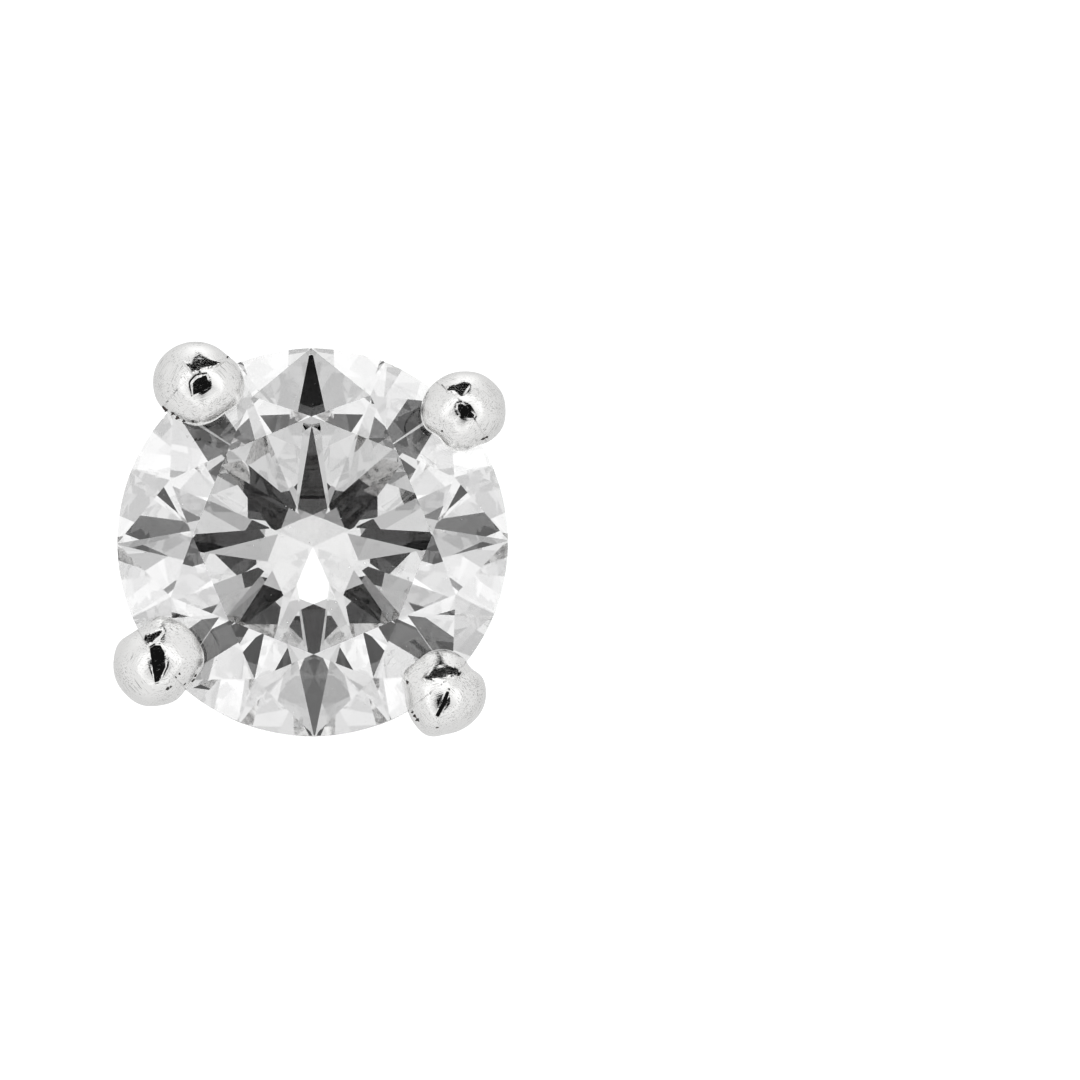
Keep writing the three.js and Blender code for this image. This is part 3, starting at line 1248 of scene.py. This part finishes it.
@dataclass
class Studio:
    """The lit table, the white tent round it, the camera, and the dark things that the metal mirrors."""

    lay: Lay
    view_below_axis: float = 7.1
    view_aside: float = 0.15
    distance: float = 230.0
    picture: int = 1080
    pixels_per_mm: float = 75.12
    stone_at: Pair = (312.7, 541.5)
    sensor: float = 10.0
    lens_half_angle: float = 16.0
    lens_share: float = 0.9
    lens_sides: int = 64
    lens_glow: float = 0.015
    opening_distance: float = 300.0
    opening_corners: tuple[Pair, ...] = (
        (-11, 59),
        (11, 59),
        (11, 76),
        (4, 78),
        (4, 92),
        (-4, 92),
        (-4, 78),
        (-11, 76),
    )
    opening_glow: float = 0.01
    backdrop: float = 1.1
    rings: tuple[Pair, ...] = (
        (15, 0.4),
        (18, 0.7),
        (26, 0.9),
        (34, 0.96),
        (46, 1.06),
        (51, 1.09),
        (56, 0.8),
        (66, 0.83),
        (73, 0.8),
        (90, 0.8),
        (110, 0.73),
        (180, 0.72),
    )
    shades: tuple[Shade, ...] = (
        Shade("camera's foot", turn=180, angle=20, spread=9, depth=0.3),
        Shade("left of the camera's foot", turn=-110, angle=19, spread=7, depth=0.22),
        Shade("table in front", turn=180, angle=37, spread=11, depth=0.16),
        Shade("table in front, right", turn=125, angle=35, spread=13, depth=0.19),
        Shade("table in front, left", turn=-130, angle=36, spread=13, depth=0.19),
        Shade("main lamp", turn=-1, angle=43, spread=4, depth=-0.5),
        Shade("tent's seam", turn=10, angle=55, spread=5, depth=0.12),
        Shade("roof light", turn=0, angle=108, spread=18, depth=-0.3),
    )
    table_half: float = 900.0
    table_colour: Colour = (0.3, 0.3, 0.3)
    table_glow: float = 0.88
    clip: Pair = (0.01, 10.0)
    exposure: float = 0.07
    contrast: float = 0.8
    stone_bounces: int = 40
    metal_bounces: int = 12
    plain_bounces: int = 3

    @property
    def toward(self) -> Vector:
        """The direction from the stone to the camera."""
        below = math.radians(self.view_below_axis)
        aside = math.radians(self.view_aside)
        ahead = math.cos(aside)
        level = Vector((math.sin(aside), -math.sin(below) * ahead, math.cos(below) * ahead))
        return self.lay.direction(level)

    def axes(self) -> tuple[Vector, Vector]:
        """Returns the directions to the right and up in the picture."""
        right = Vector((0, 0, 1)).cross(self.toward).normalized()
        return right, self.toward.cross(right)

    def camera(self) -> None:
        """Places the camera so that the stone stands where the picture has it."""
        right, up = self.axes()
        middle = self.picture / 2
        aside = (middle - self.stone_at[0]) / self.pixels_per_mm
        above = (self.stone_at[1] - middle) / self.pixels_per_mm
        eye = self.lay.origin + self.toward * self.distance * MM
        target = self.lay.origin + (right * aside + up * above) * MM
        data = bpy.data.cameras.new("camera")
        data.sensor_width = self.sensor
        data.lens = self.sensor * self.distance * self.pixels_per_mm / self.picture
        data.clip_start, data.clip_end = self.clip
        made = bpy.data.objects.new("camera", data)
        made.rotation_euler = (target - eye).to_track_quat("-Z", "Y").to_euler()
        made.location = eye
        bpy.context.scene.collection.objects.link(made)
        bpy.context.scene.camera = made

    def panel(self, name: str, corners: Sequence[Vector], glow: float) -> None:
        """Adds a plain panel of the studio that only reflections and refractions meet.

        Args:
            name: The panel's name.
            corners: Its corners in order, in metres.
            glow: How bright it is, where 1 is white.
        """
        work = Workpiece()
        bmesh.ops.contextual_create(work.bm, geom=work.line(corners, closed=True))
        values = {"Base Color": BLACK, "Specular IOR Level": 0}
        values |= {"Emission Color": WHITE, "Emission Strength": glow}
        made = work.finish(name, Matrix.Identity(4), [new_material(name, values)[0]])
        made.visible_camera = False
        made.visible_diffuse = False
        made.visible_shadow = False

    def seen_at(self, turn: float, angle: float) -> Vector:
        """Returns the direction at a turn from straight up and an angle from the camera, in degrees."""
        right, up = self.axes()
        turn, angle = math.radians(turn), math.radians(angle)
        aside = right * math.sin(turn) + up * math.cos(turn)
        return aside * math.sin(angle) + self.toward * math.cos(angle)

    def dark_things(self) -> None:
        """Adds the camera's front and the opening above it, which the stone and the claws mirror."""
        right, up = self.axes()
        away = self.distance * self.lens_share * MM
        middle = self.lay.origin + self.toward * away
        reach = away * math.tan(math.radians(self.lens_half_angle))
        sides = [FULL_TURN * i / self.lens_sides for i in range(self.lens_sides)]
        disc = [middle + (right * math.cos(a) + up * math.sin(a)) * reach for a in sides]
        self.panel("camera_front", disc, self.lens_glow)
        away = self.opening_distance * MM
        corners = [self.lay.origin + self.seen_at(*corner) * away for corner in self.opening_corners]
        self.panel("tent_opening", corners, self.opening_glow)

    def tent(self) -> None:
        """Lights everything with a white tent, which is brightest round the camera."""
        world = bpy.data.worlds.new("white tent")
        bpy.context.scene.world = world
        world.use_nodes = True
        nodes, links = world.node_tree.nodes, world.node_tree.links
        background = nodes["Background"]
        background.inputs["Color"].default_value = (1, 1, 1, 1)
        place = nodes.new("ShaderNodeTexCoord")

        def math_node(operation: str, *values: float | Socket) -> Socket:
            """Adds a sum or a product to the tent, and returns its result."""
            made = nodes.new("ShaderNodeMath")
            made.operation = operation
            for socket, value in zip(made.inputs, values):
                if isinstance(value, Socket):
                    links.new(value, socket)
                else:
                    socket.default_value = value
            return made.outputs[0]

        def facing(direction: Vector) -> Socket:
            """Adds the cosine of the angle from a direction, and returns it."""
            made = nodes.new("ShaderNodeVectorMath")
            made.operation = "DOT_PRODUCT"
            made.inputs[1].default_value = direction
            links.new(place.outputs["Generated"], made.inputs[0])
            return made.outputs["Value"]

        angle = math_node("DIVIDE", math_node("ARCCOSINE", facing(self.toward)), math.pi)
        scale = nodes.new("ShaderNodeValToRGB")
        stops = scale.color_ramp.elements
        while len(stops) < len(self.rings):
            stops.new(1)
        for stop, (degrees, glow) in zip(stops, self.rings):
            stop.position = degrees / 180
            stop.color = (glow, glow, glow, 1)
        links.new(angle, scale.inputs["Fac"])
        glow = scale.outputs["Color"]
        for shade in self.shades:
            sharpness = 1 / math.radians(shade.spread) ** 2
            level = facing(self.seen_at(shade.turn, shade.angle))
            near = math_node("MULTIPLY_ADD", level, sharpness, -sharpness)
            dimming = math_node("MULTIPLY", math_node("EXPONENT", near), shade.depth)
            glow = math_node("SUBTRACT", glow, dimming)
            LOG.info("tent: %s", shade.name)
        seen = nodes.new("ShaderNodeLightPath")
        choose = nodes.new("ShaderNodeMix")
        choose.inputs["B"].default_value = self.backdrop
        links.new(seen.outputs["Is Camera Ray"], choose.inputs["Factor"])
        links.new(glow, choose.inputs["A"])
        links.new(choose.outputs["Result"], background.inputs["Strength"])

    def table(self) -> None:
        """Adds the lit white table that the stud lies on."""
        work = Workpiece()
        bmesh.ops.create_grid(work.bm, x_segments=1, y_segments=1, size=self.table_half * MM)
        values = {"Base Color": (*self.table_colour, 1), "Roughness": 1, "Specular IOR Level": 0}
        values |= {"Emission Color": WHITE, "Emission Strength": self.table_glow}
        made = work.finish("lit_table", Matrix.Identity(4), [new_material("lit white table", values)[0]])
        made.visible_glossy = False
        made.visible_transmission = False

    def light_paths(self) -> None:
        """Lets light bounce as often as a cut stone needs, and keeps the picture's tones as they are."""
        scene = bpy.context.scene
        scene.view_settings.view_transform = "Standard"
        scene.view_settings.exposure = self.exposure
        scene.view_settings.gamma = self.contrast
        scene.cycles.max_bounces = self.stone_bounces
        scene.cycles.transmission_bounces = self.stone_bounces
        scene.cycles.glossy_bounces = self.metal_bounces
        scene.cycles.diffuse_bounces = self.plain_bounces
        scene.cycles.sample_clamp_indirect = 0
        scene.cycles.blur_glossy = 0

    def build(self) -> None:
        """Makes the whole studio."""
        self.tent()
        self.table()
        self.dark_things()
        self.camera()
        self.light_paths()
        LOG.info("studio: camera %.0f mm from the stone", self.distance)


def main() -> None:
    """Builds the stud's stone, its setting and the studio."""
    logging.basicConfig(level=logging.INFO, format="%(message)s")
    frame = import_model()
    stone = RoundStone()
    setting = ClawSetting(stone)
    mount = next(item for item in frame["record"]["mounts"] if item["name"] == "lobe_seat")
    lay = Lay.from_mount(mount, setting.plate_back, setting.seat_height)
    LOG.info("lean: %.2f degrees", math.degrees(lay.lean))
    stone.build(lay.matrix())
    setting.build(lay.matrix())
    Studio(lay).build()


if __name__ == "__main__":
    main()
